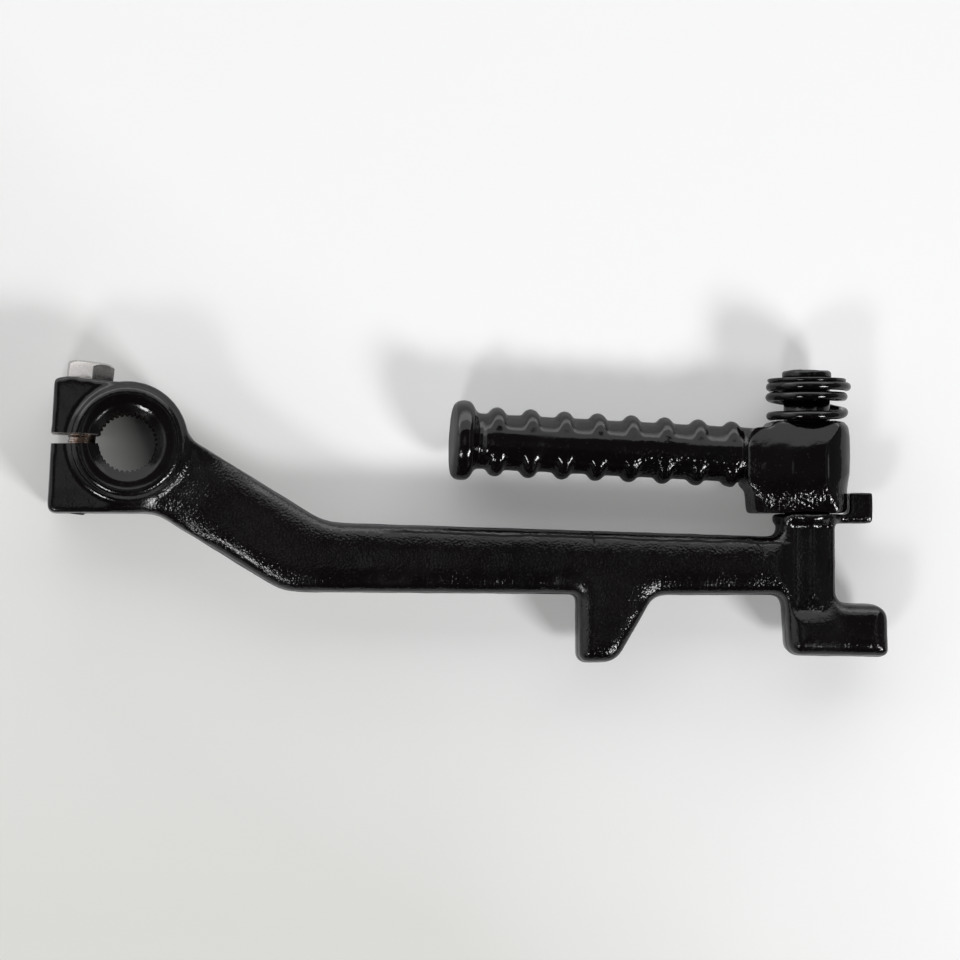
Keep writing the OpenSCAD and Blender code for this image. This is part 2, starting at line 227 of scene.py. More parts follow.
def finish_surface(obj, sharp=38):
    """Smooth shading, with edges sharper than an angle kept crisp."""
    mesh = obj.data
    mesh.polygons.foreach_set("use_smooth", [True] * len(mesh.polygons))
    mesh.set_sharp_from_angle(angle=math.radians(sharp))


def smoothstep(low, high, x):
    t = np.clip((x - low) / (high - low), 0, 1)
    return t * t * (3 - 2 * t)


# Node trees: a value or a socket may be given for any input


def put(tree, kind, inputs=None, **settings):
    node = tree.nodes.new(kind)
    for key, value in settings.items():
        setattr(node, key, value)
    for key, value in (inputs or {}).items():
        if isinstance(value, bpy.types.NodeSocket):
            tree.links.new(value, node.inputs[key])
        else:
            node.inputs[key].default_value = value
    return node


def calc(tree, operation, *values):
    node = put(tree, "ShaderNodeMath", operation=operation)
    for socket, value in zip(node.inputs, values):
        if isinstance(value, bpy.types.NodeSocket):
            tree.links.new(value, socket)
        else:
            socket.default_value = value
    return node.outputs[0]


def curve_of(tree, factor, points):
    """The height of a drawn curve through the points, at a factor from 0 to 1."""
    node = put(tree, "ShaderNodeFloatCurve", {"Value": factor})
    line = node.mapping.curves[0]
    for k, (x, y) in enumerate(points):
        point = line.points[k] if k < 2 else line.points.new(x, y)
        point.location = (x, y)
        point.handle_type = "AUTO_CLAMPED"
    node.mapping.update()
    return node.outputs[0]


def ramp_of(tree, factor, low, high, low_value=0.0, high_value=1.0):
    """A straight ramp as a factor goes from low to high, held level beyond them."""
    span = {"Value": factor, "From Min": low, "From Max": high, "To Min": low_value, "To Max": high_value}
    return put(tree, "ShaderNodeMapRange", span, clamp=True).outputs[0]


def geometry_tree(name, inputs):
    tree = bpy.data.node_groups.new(name, "GeometryNodeTree")
    tree.interface.new_socket(name="Geometry", in_out="OUTPUT", socket_type="NodeSocketGeometry")
    for key in inputs:
        kind = {"Material": "NodeSocketMaterial", "Count": "NodeSocketInt"}.get(key, "NodeSocketFloat")
        tree.interface.new_socket(name=key, in_out="INPUT", socket_type=kind)
    given = put(tree, "NodeGroupInput")
    return tree, {key: given.outputs[key] for key in inputs}


def close_tree(tree, geometry, material):
    """Ends a tree: real geometry, with its material."""
    real = put(tree, "GeometryNodeRealizeInstances", {"Geometry": geometry})
    finish = put(tree, "GeometryNodeSetMaterial", {"Geometry": real.outputs[0], "Material": material})
    put(tree, "NodeGroupOutput", {"Geometry": finish.outputs[0]})


def grow(name, tree, values):
    """An object whose plain mesh a tree makes from named values."""
    obj = add_object(name, bpy.data.meshes.new(name))
    modifier = obj.modifiers.new("grow", "NODES")
    modifier.node_group = tree
    for item in tree.interface.items_tree:
        if item.item_type == "SOCKET" and item.in_out == "INPUT":
            modifier[item.identifier] = values[item.name]
    return bake(obj)


# Shapes that follow a rule


def swept(tree, path, radius, sides):
    """A round bar along a path, closed at both ends."""
    ring = put(tree, "GeometryNodeCurvePrimitiveCircle", {"Resolution": sides, "Radius": radius})
    bar = put(
        tree,
        "GeometryNodeCurveToMesh",
        {"Curve": path, "Profile Curve": ring.outputs["Curve"], "Fill Caps": True},
    )
    return bar.outputs["Mesh"]


def straight_path(tree, low, high, count):
    """A line up Z in equal steps, with how far along each point is."""
    start = put(tree, "ShaderNodeCombineXYZ", {"Z": low}).outputs[0]
    end = put(tree, "ShaderNodeCombineXYZ", {"Z": high}).outputs[0]
    line = put(tree, "GeometryNodeCurvePrimitiveLine", {"Start": start, "End": end})
    fine = put(tree, "GeometryNodeResampleCurve", {"Curve": line.outputs[0], "Count": count})
    return fine.outputs[0], put(tree, "GeometryNodeSplineParameter").outputs["Factor"]


def coil_tree():
    """A compression spring whose turns close up where its ends are flat."""
    names = ["Centre X", "Radius", "Wire Radius", "Turns", "Low", "High", "Material"]
    tree, given = geometry_tree("coil spring", names)
    path, factor = straight_path(tree, 0.0, 1.0, 300)
    swing = calc(tree, "MULTIPLY", factor, calc(tree, "MULTIPLY", given["Turns"], 2 * math.pi))
    angle = calc(tree, "SUBTRACT", math.pi, swing)
    rise = curve_of(
        tree, factor, [(0, 0), (0.11, 0), (0.2, 0.17), (0.4, 0.65), (0.6, 0.665), (0.78, 0.985), (1, 1)]
    )
    flare = curve_of(tree, factor, [(0, 0.1), (0.3, 0.15), (0.6, 0.0), (0.86, 0.0), (0.94, 0.45), (1, 1)])
    radius = calc(tree, "MULTIPLY_ADD", flare, 0.85 * MM, given["Radius"])
    x = calc(tree, "MULTIPLY_ADD", radius, calc(tree, "COSINE", angle), given["Centre X"])
    z = calc(tree, "MULTIPLY", radius, calc(tree, "SINE", angle))
    span = calc(tree, "SUBTRACT", given["High"], given["Low"])
    y = calc(tree, "MULTIPLY_ADD", rise, span, given["Low"])
    spot = put(tree, "ShaderNodeCombineXYZ", {"X": x, "Y": y, "Z": z}).outputs[0]
    helix = put(tree, "GeometryNodeSetPosition", {"Geometry": path, "Position": spot}).outputs[0]
    close_tree(tree, swept(tree, helix, given["Wire Radius"], 20), given["Material"])
    return tree


def thread_tree():
    """A screw thread's ridge, wound round Z."""
    names = ["Radius", "Ridge", "Pitch", "Low", "High", "Material"]
    tree, given = geometry_tree("screw thread", names)
    path, factor = straight_path(tree, 0.0, 1.0, 900)
    span = calc(tree, "SUBTRACT", given["High"], given["Low"])
    turns = calc(tree, "DIVIDE", span, given["Pitch"])
    angle = calc(tree, "MULTIPLY", factor, calc(tree, "MULTIPLY", turns, 2 * math.pi))
    x = calc(tree, "MULTIPLY", given["Radius"], calc(tree, "COSINE", angle))
    y = calc(tree, "MULTIPLY", given["Radius"], calc(tree, "SINE", angle))
    z = calc(tree, "MULTIPLY_ADD", factor, span, given["Low"])
    spot = put(tree, "ShaderNodeCombineXYZ", {"X": x, "Y": y, "Z": z}).outputs[0]
    helix = put(tree, "GeometryNodeSetPosition", {"Geometry": path, "Position": spot}).outputs[0]
    close_tree(tree, swept(tree, helix, given["Ridge"], 6), given["Material"])
    return tree


def serration_tree():
    """A broach for the splined bore: a bar whose section has rounded teeth all the way round."""
    names = ["Tip Radius", "Depth", "Count", "Length", "Material"]
    tree, given = geometry_tree("serration broach", names)
    around = calc(tree, "MULTIPLY", given["Count"], 12)
    ring = put(tree, "GeometryNodeCurvePrimitiveCircle", {"Resolution": around, "Radius": 1.0})
    factor = put(tree, "GeometryNodeSplineParameter").outputs["Factor"]
    teeth = calc(tree, "FRACT", calc(tree, "MULTIPLY", factor, given["Count"]))
    tooth = curve_of(
        tree, teeth, [(0, 0), (0.16, 0.04), (0.42, 0.94), (0.5, 1), (0.58, 0.94), (0.84, 0.04), (1, 0)]
    )
    radius = calc(tree, "MULTIPLY_ADD", tooth, given["Depth"], given["Tip Radius"])
    place = put(tree, "GeometryNodeInputPosition").outputs[0]
    spot = put(tree, "ShaderNodeVectorMath", operation="SCALE")
    tree.links.new(place, spot.inputs[0])
    tree.links.new(radius, spot.inputs["Scale"])
    outline = put(tree, "GeometryNodeSetPosition", {"Geometry": ring.outputs[0], "Position": spot.outputs[0]})
    foot = put(tree, "ShaderNodeCombineXYZ", {"Z": calc(tree, "MULTIPLY", given["Length"], -0.5)}).outputs[0]
    top = put(tree, "ShaderNodeCombineXYZ", {"Z": calc(tree, "MULTIPLY", given["Length"], 0.5)}).outputs[0]
    path = put(tree, "GeometryNodeCurvePrimitiveLine", {"Start": foot, "End": top})
    bar = put(
        tree,
        "GeometryNodeCurveToMesh",
        {"Curve": path.outputs[0], "Profile Curve": outline.outputs[0], "Fill Caps": True},
    )
    close_tree(tree, bar.outputs[0], given["Material"])
    return tree


def peg_tree():
    """A ribbed foot peg turned round Z: a tapered core, rounded ribs at one pitch and an end flange."""
    names = ["Root Radius", "End Radius", "Rib Height", "Pitch", "First Rib", "Count", "Flange Radius",
             "Flange Width", "Length", "Material"]
    tree, given = geometry_tree("ribbed peg", names)
    start_in_hub = 4 * MM
    path, factor = straight_path(tree, start_in_hub, given["Length"], 420)
    span = calc(tree, "SUBTRACT", given["Length"], start_in_hub)
    along = calc(tree, "MULTIPLY_ADD", factor, span, start_in_hub)
    root, end = given["Root Radius"], given["End Radius"]
    core = ramp_of(tree, along, given["First Rib"], given["Length"], root, end)
    phase = calc(tree, "DIVIDE", calc(tree, "SUBTRACT", along, given["First Rib"]), given["Pitch"])
    cycle = calc(tree, "FRACT", calc(tree, "ADD", phase, 10.5))
    bump = curve_of(
        tree,
        cycle,
        [(0, 0), (0.2, 0.0), (0.27, 0.1), (0.36, 0.72), (0.43, 0.95), (0.5, 1),
         (0.57, 0.95), (0.64, 0.72), (0.73, 0.1), (0.8, 0.0), (1, 0)],
    )
    after = calc(tree, "GREATER_THAN", phase, -0.5)
    before = calc(tree, "LESS_THAN", phase, calc(tree, "SUBTRACT", given["Count"], 0.5))
    ribs = calc(tree, "MULTIPLY", calc(tree, "MULTIPLY", bump, after), before)
    ribbed = calc(tree, "MULTIPLY_ADD", ribs, given["Rib Height"], core)
    start = calc(tree, "SUBTRACT", given["Length"], given["Flange Width"])
    rim = curve_of(
        tree,
        ramp_of(tree, along, start, given["Length"]),
        [(0, 0), (0.08, 0.1), (0.2, 0.62), (0.36, 0.93), (0.52, 1), (0.7, 0.97), (0.84, 0.86), (0.93, 0.66),
         (0.97, 0.4), (1, 0.0)],
    )
    swell = calc(tree, "SUBTRACT", given["Flange Radius"], end)
    flanged = calc(tree, "MULTIPLY_ADD", rim, swell, end)
    radius = calc(tree, "MAXIMUM", ribbed, flanged)
    last = calc(tree, "GREATER_THAN", along, start)
    shape = calc(tree, "MULTIPLY_ADD", calc(tree, "SUBTRACT", flanged, radius), last, radius)
    sized = put(tree, "GeometryNodeSetCurveRadius", {"Curve": path, "Radius": shape})
    ring = put(tree, "GeometryNodeCurvePrimitiveCircle", {"Resolution": 96, "Radius": 1.0})
    bar = put(
        tree,
        "GeometryNodeCurveToMesh",
        {"Curve": sized.outputs[0], "Profile Curve": ring.outputs[0], "Scale": shape, "Fill Caps": True},
    )
    close_tree(tree, bar.outputs[0], given["Material"])
    return tree


# Shader groups for effects that several finishes share


def shader_group(name, inputs, outputs):
    tree = bpy.data.node_groups.new(name, "ShaderNodeTree")
    for key in inputs:
        kind = "NodeSocketVector" if key == "Vector" else "NodeSocketFloat"
        tree.interface.new_socket(name=key, in_out="INPUT", socket_type=kind)
    for key in outputs:
        tree.interface.new_socket(name=key, in_out="OUTPUT", socket_type="NodeSocketFloat")
    given = put(tree, "NodeGroupInput")
    return tree, {key: given.outputs[key] for key in inputs}


def noise_of(tree, vector, scale, detail=2.0, rough=0.5, distortion=0.0):
    node = put(
        tree,
        "ShaderNodeTexNoise",
        {"Vector": vector, "Scale": scale, "Detail": detail, "Roughness": rough, "Distortion": distortion},
    )
    return node.outputs["Fac"]


def sand_group():
    """Sand-cast grain under thick paint: soft grains with shallow hollows, coarser in patches."""
    tree, given = shader_group("sand cast grain", ["Vector", "Grain", "Coarse"], ["Height", "Patches"])
    per_metre = calc(tree, "DIVIDE", 1.0, given["Grain"])
    coarse = calc(tree, "DIVIDE", 1.0, given["Coarse"])
    grains = noise_of(tree, given["Vector"], per_metre, 2.0, 0.45, 0.15)
    patches = noise_of(tree, given["Vector"], coarse, 2.0, 0.5)
    cells = put(
        tree,
        "ShaderNodeTexVoronoi",
        {"Vector": given["Vector"], "Scale": per_metre, "Smoothness": 0.6},
        feature="SMOOTH_F1",
    )
    both = calc(tree, "MULTIPLY_ADD", cells.outputs["Distance"], -0.45, grains)
    share = ramp_of(tree, patches, 0.35, 0.65, 0.35, 1.0)
    put(tree, "NodeGroupOutput", {"Height": calc(tree, "MULTIPLY", both, share), "Patches": share})
    return tree


def dust_group():
    """Specks of dust and faint smears that dull a gloss finish."""
    tree, given = shader_group("dust and smears", ["Vector", "Speck", "Amount"], ["Dulling", "Specks"])
    fine = noise_of(tree, given["Vector"], calc(tree, "DIVIDE", 1.0, given["Speck"]), 1.0)
    broad = noise_of(tree, given["Vector"], 90.0, 3.0, 0.6, 0.4)
    specks = ramp_of(tree, fine, 0.7, 0.76)
    smears = ramp_of(tree, broad, 0.5, 0.72)
    dull = calc(tree, "MULTIPLY", calc(tree, "MULTIPLY_ADD", specks, 0.6, smears), given["Amount"])
    put(tree, "NodeGroupOutput", {"Dulling": dull, "Specks": calc(tree, "MULTIPLY", specks, given["Amount"])})
    return tree


SAND = sand_group()
DUST = dust_group()


def new_material(name):
    material = bpy.data.materials.new(name)
    material.use_nodes = True
    tree = material.node_tree
    tree.nodes.clear()
    shader = put(tree, "ShaderNodeBsdfPrincipled")
    put(tree, "ShaderNodeOutputMaterial", {"Surface": shader.outputs[0]})
    return material, tree, shader


def use_group(tree, group, inputs):
    return put(tree, "ShaderNodeGroup", inputs, node_tree=group).outputs


def blend_colours(tree, factor, first, second):
    """A mix of two colours, each of them three numbers or a socket."""
    ends = [value if isinstance(value, bpy.types.NodeSocket) else (*value, 1) for value in (first, second)]
    inputs = {"Factor": factor, 6: ends[0], 7: ends[1]}
    return put(tree, "ShaderNodeMix", inputs, data_type="RGBA", clamp_factor=False).outputs[2]


def feeding(shader, key):
    """The socket that a shader's input takes its value from."""
    return shader.inputs[key].links[0].from_socket


def paint_coat(name, grain, depth, ripple, dulling, roughness=0.13, grain_share=None):
    """Thick gloss black paint over a casting of a given grain, which may be finer in places: the
    material, its tree, its shader and the place on the surface."""
    material, tree, shader = new_material(name)
    spot = put(tree, "ShaderNodeTexCoord").outputs["Object"]
    sand = use_group(tree, SAND, {"Vector": spot, "Grain": grain, "Coarse": 14 * MM})
    dust = use_group(tree, DUST, {"Vector": spot, "Speck": 0.5 * MM, "Amount": dulling})
    waves = noise_of(tree, spot, 1 / (3.2 * MM), 1.0)
    height = sand["Height"]
    if grain_share:
        height = calc(tree, "MULTIPLY", height, grain_share(tree, spot))
    grains = put(tree, "ShaderNodeBump", {"Height": height, "Strength": 1.0, "Distance": depth})
    over = {"Height": waves, "Strength": 1.0, "Distance": ripple, "Normal": grains.outputs[0]}
    tree.links.new(put(tree, "ShaderNodeBump", over).outputs[0], shader.inputs["Normal"])
    tint = noise_of(tree, spot, 40.0, 2.0)
    base = blend_colours(tree, tint, (0.0012, 0.0011, 0.0013), (0.0042, 0.0026, 0.0030))
    worn = blend_colours(tree, dust["Specks"], base, (0.04, 0.038, 0.036))
    tree.links.new(worn, shader.inputs["Base Color"])
    tree.links.new(calc(tree, "MULTIPLY_ADD", dust["Dulling"], 0.3, roughness), shader.inputs["Roughness"])
    shader.inputs["IOR"].default_value = 1.5
    return material, tree, shader, spot


def black_paint(*coat):
    return paint_coat(*coat)[0]


def axes_of(tree, spot):
    node = put(tree, "ShaderNodeSeparateXYZ", {"Vector": spot})
    return node.outputs["X"], node.outputs["Y"], node.outputs["Z"]


def arm_grain(tree, spot):
    """The arm's share of grain: little on the boss and ears, most on the arm and foot."""
    x, y = axes_of(tree, spot)[:2]
    return ramp_of(tree, calc(tree, "MULTIPLY_ADD", y, -0.6, x), 3 * MM, 16 * MM, 0.3, 1.0)


def pedal_grain(tree, spot):
    """The pedal's share of grain: smooth but for the hub's lower front and the peg's lower side."""
    x, y = axes_of(tree, spot)[:2]
    low = ramp_of(tree, y, HUB_LOW + 8.5 * MM, HUB_LOW + 4.5 * MM)
    hub = ramp_of(tree, x, PIVOT_X - 15 * MM, PIVOT_X - 7 * MM, 0.3, 1.0)
    patchy = ramp_of(tree, noise_of(tree, spot, 260.0, 1.0), 0.4, 0.56, 0.35, 1.0)
    front = calc(tree, "MULTIPLY", calc(tree, "MULTIPLY", low, hub), patchy)
    axis = calc(tree, "MULTIPLY_ADD", calc(tree, "SUBTRACT", PIVOT_X, x), math.tan(PEG_SLOPE), PEG_Y)
    below = ramp_of(tree, calc(tree, "SUBTRACT", y, axis), 0.5 * MM, -1.5 * MM)
    toward_hub = ramp_of(tree, x, PIVOT_X - 58 * MM, PIVOT_X - 22 * MM, 0.35, 0.6)
    off_hub = ramp_of(tree, x, PIVOT_X - 11 * MM, PIVOT_X - 13 * MM)
    peg = calc(tree, "MULTIPLY", calc(tree, "MULTIPLY", toward_hub, below), off_hub)
    return calc(tree, "ADD", calc(tree, "MULTIPLY_ADD", front, 0.8, 0.07), peg)


# Nicks in the arm's face, in millimetres: each row is a straight stroke's start and end
NICKS = [
    [(104.6, -19.4), (105.3, -23.0)],
    [(140.2, -21.6), (142.4, -22.5)],
    [(142.2, -22.4), (144.4, -24.9)],
]


def stroke(tree, x, y, start, end, half_width):
    """A straight scratch between two points of the face: 1 on it, else 0."""
    dx, dy = end[0] - start[0], end[1] - start[1]
    length = math.hypot(dx, dy)
    dx, dy = dx / length, dy / length
    from_x = calc(tree, "SUBTRACT", x, start[0])
    from_y = calc(tree, "SUBTRACT", y, start[1])
    along = calc(tree, "MULTIPLY_ADD", from_x, dx, calc(tree, "MULTIPLY", from_y, dy))
    off = calc(tree, "ABSOLUTE", calc(tree, "MULTIPLY_ADD", from_x, dy, calc(tree, "MULTIPLY", from_y, -dx)))
    line = ramp_of(tree, off, half_width, 0.4 * half_width)
    begun = ramp_of(tree, along, 0, half_width)
    ended = ramp_of(tree, along, length, length - 3 * half_width)
    return calc(tree, "MULTIPLY", line, calc(tree, "MULTIPLY", begun, ended))


def score_line(tree, spot):
    """A fine wavy line along the arm, just below its upper edge, and two nicks that run down from
    it: 1 on the line, else 0."""
    x, y, z = axes_of(tree, spot)
    edge = ramp_of(tree, x, 44 * MM, PIVOT_X, -17.7 * MM, -20.9 * MM)
    wave = calc(tree, "MULTIPLY_ADD", noise_of(tree, spot, 160.0, 3.0, 0.6), 1.1 * MM, edge)
    off = calc(tree, "ABSOLUTE", calc(tree, "SUBTRACT", calc(tree, "SUBTRACT", wave, 2.3 * MM), y))
    line = ramp_of(tree, off, 0.29 * MM, 0.13 * MM)
    ends = calc(tree, "MULTIPLY", ramp_of(tree, x, 56 * MM, 62 * MM), ramp_of(tree, x, 151 * MM, 147 * MM))
    marks = calc(tree, "MULTIPLY", line, ends)
    for start, end in map(in_mm, NICKS):
        marks = calc(tree, "MAXIMUM", marks, stroke(tree, x, y, start, end, 0.26 * MM))
    return calc(tree, "MULTIPLY", marks, ramp_of(tree, z, 0, 3 * MM))


def cast_paint(name):
    """The arm's paint, with the line scored along it and its nicks, which are rough and sunk in."""
    material, tree, shader, spot = paint_coat(name, 0.5 * MM, 0.115 * MM, 0.06 * MM, 0.45, 0.13, arm_grain)
    line = score_line(tree, spot)
    sunk = {"Height": line, "Strength": 1.0, "Distance": -0.22 * MM, "Normal": feeding(shader, "Normal")}
    tree.links.new(put(tree, "ShaderNodeBump", sunk).outputs[0], shader.inputs["Normal"])
    rough = calc(tree, "MULTIPLY_ADD", line, 0.85, feeding(shader, "Roughness"))
    tree.links.new(rough, shader.inputs["Roughness"])
    return material


def bare_steel(name, colour, roughness):
    """Sawn bare steel with fine scratches and a little brown."""
    material, tree, shader = new_material(name)
    spot = put(tree, "ShaderNodeTexCoord").outputs["Object"]
    flat = put(tree, "ShaderNodeMapping", {"Vector": spot, "Scale": (0.15, 1, 1)}).outputs[0]
    lines = noise_of(tree, flat, 4000.0, 2.0)
    stain = ramp_of(tree, noise_of(tree, spot, 420.0, 3.0, 0.6), 0.5, 0.7)
    tree.links.new(blend_colours(tree, stain, colour, (0.20, 0.13, 0.09)), shader.inputs["Base Color"])
    tree.links.new(calc(tree, "MULTIPLY_ADD", lines, 0.25, roughness), shader.inputs["Roughness"])
    shader.inputs["Metallic"].default_value = 0.9
    bump = put(tree, "ShaderNodeBump", {"Height": lines, "Strength": 0.6, "Distance": 0.02 * MM})
    tree.links.new(bump.outputs[0], shader.inputs["Normal"])
    return material


def bright_zinc(name):
    """Bright zinc plate with faint clouding and fine tool marks, browned on the bolt's shank and
    painted over at its tip."""
    material, tree, shader = new_material(name)
    spot = put(tree, "ShaderNodeTexCoord").outputs["Object"]
    cloud = noise_of(tree, spot, 500.0, 3.0, 0.6)
    marks = noise_of(tree, spot, 3000.0, 2.0)
    plate = blend_colours(tree, cloud, (0.62, 0.61, 0.60), (0.82, 0.78, 0.73))
    y = axes_of(tree, spot)[1]
    patchy = ramp_of(tree, cloud, 0.35, 0.5, 0.5, 1.0)
    shank = calc(tree, "MULTIPLY", ramp_of(tree, y, 9 * MM, 7 * MM), patchy)
    browned = blend_colours(tree, shank, plate, (0.26, 0.18, 0.14))
    tip = ramp_of(tree, y, -14 * MM, -15.4 * MM)
    tree.links.new(blend_colours(tree, tip, browned, (0.012, 0.011, 0.011)), shader.inputs["Base Color"])
    tree.links.new(ramp_of(tree, cloud, 0.3, 0.7, 0.16, 0.34), shader.inputs["Roughness"])
    shader.inputs["Metallic"].default_value = 1.0
    bump = put(tree, "ShaderNodeBump", {"Height": marks, "Strength": 0.5, "Distance": 0.012 * MM})
    tree.links.new(bump.outputs[0], shader.inputs["Normal"])
    return material


def pedal_paint(name):
    """The pedal's gloss black, rubbed dull and grey on the peg's end face."""
    material, tree, shader, spot = paint_coat(name, 0.9 * MM, 0.4 * MM, 0.05 * MM, 0.35, 0.1, pedal_grain)
    x = axes_of(tree, spot)[0]
    patchy = calc(tree, "MULTIPLY_ADD", noise_of(tree, spot, 600.0, 3.0), 0.8 * MM, x)
    rubbed = ramp_of(tree, patchy, PEDAL_LO.x + 1.6 * MM, PEDAL_LO.x + 1.1 * MM)
    colour = blend_colours(tree, rubbed, feeding(shader, "Base Color"), (0.035, 0.035, 0.036))
    tree.links.new(colour, shader.inputs["Base Color"])
    gloss_to_worn = {0: rubbed, 2: feeding(shader, "Roughness"), 3: 0.55}
    rough = put(tree, "ShaderNodeMix", gloss_to_worn, data_type="FLOAT").outputs[0]
    tree.links.new(rough, shader.inputs["Roughness"])
    return material


CAST_PAINT = cast_paint("black_paint_cast")
DISH_PAINT = black_paint("black_paint_dish", 0.7 * MM, 0.02 * MM, 0.03 * MM, 0.3)
PEDAL_PAINT = pedal_paint("black_paint_smooth")
TURNED_PAINT = black_paint("black_paint_turned", 0.8 * MM, 0.03 * MM, 0.04 * MM, 0.3)
WIRE_PAINT = black_paint("black_spring_wire", 0.7 * MM, 0.012 * MM, 0.02 * MM, 0.25, 0.09)
SLIT_STEEL = bare_steel("sawn_steel", (0.50, 0.49, 0.47), 0.3)
BORE_STEEL = bare_steel("broached_steel", (0.045, 0.042, 0.04), 0.35)
ZINC = bright_zinc("bright_zinc")


# The lever arm


def tall_arm(name):
    """The arm stretched in height, so that another shape can set how high each part of it stands."""
    bm = node_copy("lever_arm")
    for v in bm.verts:
        v.co.z *= 1.5
    return object_from(name, bm)


def neck_blend():
    """The casting's sweep from the arm's face up to the boss, kept inside the arm's own outline."""
    upper = in_mm([(29, 6.3), (23, 6.8), (18.5, 7.5), (15, 8.3), (12.5, 8.7), (0, 8.7)])
    bm = bmesh.new()
    lathe(bm, [(r, -z) for r, z in upper[::-1]] + upper, Matrix.Identity(4))
    return cut(tall_arm("neck_blend"), object_from("skirt", bm), "INTERSECT")


def ear_block():
    """The ears' body with its faces run out nearly to the outline, for narrower rounded edges."""
    bm = bmesh.new()
    top = EAR_TOP - FLUSH
    box(bm, (ARM_LO.x - 1 * MM, ARM_LO.y - 1 * MM, -top), (-4 * MM, ARM_HI.y + 1 * MM, top))
    return cut(tall_arm("ears"), object_from("ear_block", bm), "INTERSECT")


def crown_faces(obj):
    """Rounds the arm's broad faces off towards its outline, more narrowly on the lug and the foot."""
    mesh = obj.data
    co = coordinates(mesh)
    normal = normals(mesh)
    rim = np.nonzero((np.abs(co[:, 2]) < 0.8 * MM) & (np.abs(normal[:, 2]) < 0.5))[0]
    tree = kdtree.KDTree(len(rim))
    for k in rim:
        tree.insert((co[k, 0], co[k, 1], 0), int(k))
    tree.balance()
    from_bore = np.hypot(co[:, 0], co[:, 1])
    on_arm = smoothstep(BOSS_R, BOSS_R + 9 * MM, from_bore) * (co[:, 0] > 0)
    below_collar = smoothstep(-16 * MM, -19 * MM, co[:, 1])
    on_arm *= np.where(co[:, 0] > 60 * MM, below_collar, 1)
    low_parts = smoothstep(-35 * MM, -38.5 * MM, co[:, 1]) * (co[:, 0] > 80 * MM)
    zones = [(on_arm * (1 - low_parts), 6.6 * MM, 0.25), (on_arm * low_parts, 4.6 * MM, 0.2)]
    for share, width, drop_by in zones:
        for k in np.nonzero((share > 0) & (np.abs(co[:, 2]) > 2 * MM))[0]:
            inside = min(tree.find((co[k, 0], co[k, 1], 0))[2], width) / width
            co[k, 2] *= 1 - share[k] * drop_by * (1 - inside) ** 2
    set_coordinates(mesh, co)


def dish_cutter():
    """The dished mouths of the bore, a lathe tool for each side."""
    rim = in_mm([
        (0, 9.62), (6.2, 9.62), (7.8, 10.16), (8.1, 10.27), (8.35, 10.39), (8.6, 10.5), (8.9, 10.58),
        (9.4, 10.67), (9.9, 10.76), (10.3, 10.86), (10.55, 10.94), (10.8, 11.03), (10.8, 12), (0, 12),
    ])
    bm = bmesh.new()
    lathe(bm, rim, Matrix.Identity(4), 144)
    lathe(bm, rim, Matrix.Rotation(math.pi, 4, "X"), 144)
    cutter = object_from("dish_cutter", bm)
    cutter.data.materials.append(DISH_PAINT)
    return cutter


def make_lever_arm():
    bm = node_copy("lever_arm")
    plug = in_mm([
        (0, 10.9), (10.6, 10.9), (10.9, 10.2), (12.3, 10.1), (12.7, 9.55), (13.1, 9.2), (13.6, 8.95),
        (13.4, 8),
    ])
    lathe(bm, [(r, -z) for r, z in plug] + plug[::-1], Matrix.Identity(4))
    ear = EAR_TOP - FLUSH
    ring = RING_TOP - FLUSH
    box(bm, (ARM_LO.x + 0.9 * MM, -0.8 * MM, -ear), (-7 * MM, 3 * MM, ear))
    box(bm, (-RING_R + 0.3 * MM, -0.6 * MM, -ring), (-9.8 * MM, 2.4 * MM, ring))
    arm = object_from("lever_arm_casting", bm)
    arm.data.materials.append(CAST_PAINT)
    parts = [neck_blend(), ear_block()]
    bm = bmesh.new()
    bm.from_mesh(arm.data)
    for part in parts:
        bm.from_mesh(part.data)
        drop(part)
    bm.to_mesh(arm.data)
    bm.free()
    cast_over(arm, 0.5 * MM, 9)
    crown_faces(arm)
    co = coordinates(arm.data)
    off_boss = smoothstep(BOSS_R - 1 * MM, BOSS_R + 9 * MM, np.hypot(co[:, 0], co[:, 1])) * (co[:, 0] > 0)
    uneven = 0.15 + 0.85 * off_boss
    roughen(arm, 5 * MM, 0.10 * MM, 0.0, uneven)
    roughen(arm, 1.8 * MM, 0.03 * MM, 7.0, uneven)
    cut(arm, dish_cutter())

    broach = grow(
        "broach",
        serration_tree(),
        {"Tip Radius": BORE_R, "Depth": TOOTH_DEPTH, "Count": TOOTH_COUNT, "Length": 30 * MM,
         "Material": BORE_STEEL},
    )
    cut(arm, broach)

    saw = bmesh.new()
    mouth = ARM_LO.x - 3 * MM
    end = -BORE_R + 1 * MM
    corners = [
        (mouth, SLIT_RISE - SLIT_MOUTH_W / 2),
        (end, SLIT_RISE - 0.3 * MM - SLIT_W / 2),
        (end, SLIT_RISE - 0.3 * MM + SLIT_W / 2),
        (mouth, SLIT_RISE + SLIT_MOUTH_W / 2),
    ]
    low = [saw.verts.new((x, y, -13 * MM)) for x, y in corners]
    high = [saw.verts.new((x, y, 13 * MM)) for x, y in corners]
    saw.faces.new(reversed(low))
    saw.faces.new(high)
    for k in range(4):
        n = (k + 1) % 4
        saw.faces.new([low[k], low[n], high[n], high[k]])
    slitting_saw = object_from("slitting_saw", saw)
    slitting_saw.data.materials.append(SLIT_STEEL)
    cut(arm, slitting_saw)
    finish_surface(arm)
    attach(arm, "lever")
    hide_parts("lever_arm")


# The pedal


